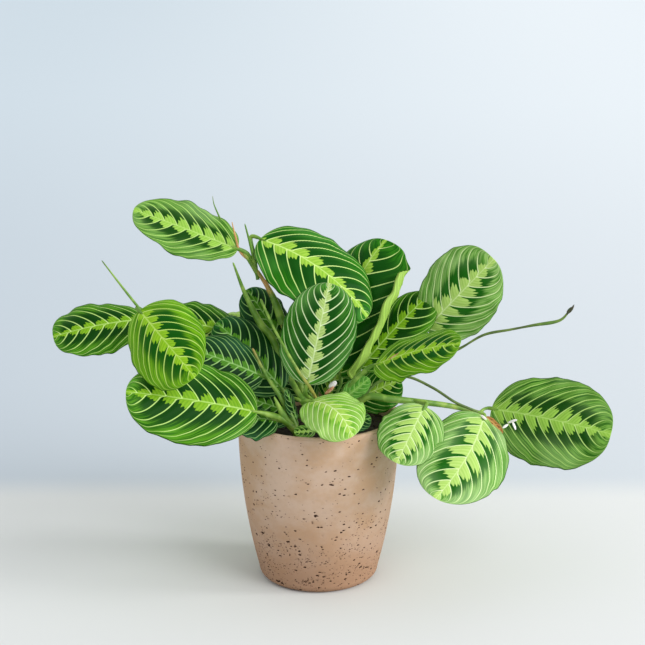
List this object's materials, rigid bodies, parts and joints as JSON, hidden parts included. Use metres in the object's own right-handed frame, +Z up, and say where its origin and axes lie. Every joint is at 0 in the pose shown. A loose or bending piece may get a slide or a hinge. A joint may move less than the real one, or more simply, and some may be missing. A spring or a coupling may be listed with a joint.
{
  "type": "potted prayer plant",
  "caption": "Prayer plant with broad oval patterned leaves on arching stalks, standing in soil in a tapered stone-effect pot with a rounded foot.",
  "frame": {"origin": "middle of the pot's flat base", "axes": "+Z up, -Y towards the plant's front, +X towards its widest reach, where the runner shoot hangs over the rim"},
  "size_m": [0.5073, 0.2705, 0.3598],
  "materials": {
    "pot": "matte",
    "soil": "matte",
    "leaf": "satin",
    "stalk": "satin",
    "dry_leaf": "matte",
    "petal": "matte"
  },
  "bodies": {
    "root": {"pot": "pot", "soil": "soil", "shoot_upper_left": "leaf", "shoot_left": "leaf", "shoot_low_left": "leaf", "shoot_blue_left": "leaf", "shoot_centre": "leaf", "shoot_top_right": "leaf", "shoot_right": "leaf", "shoot_front": "leaf", "shoot_runner": "leaf", "flower_stalk": "leaf", "shoot_back_left": "leaf", "shoot_back": "leaf", "shoot_back_right": "leaf"}
  },
  "joints": []
}
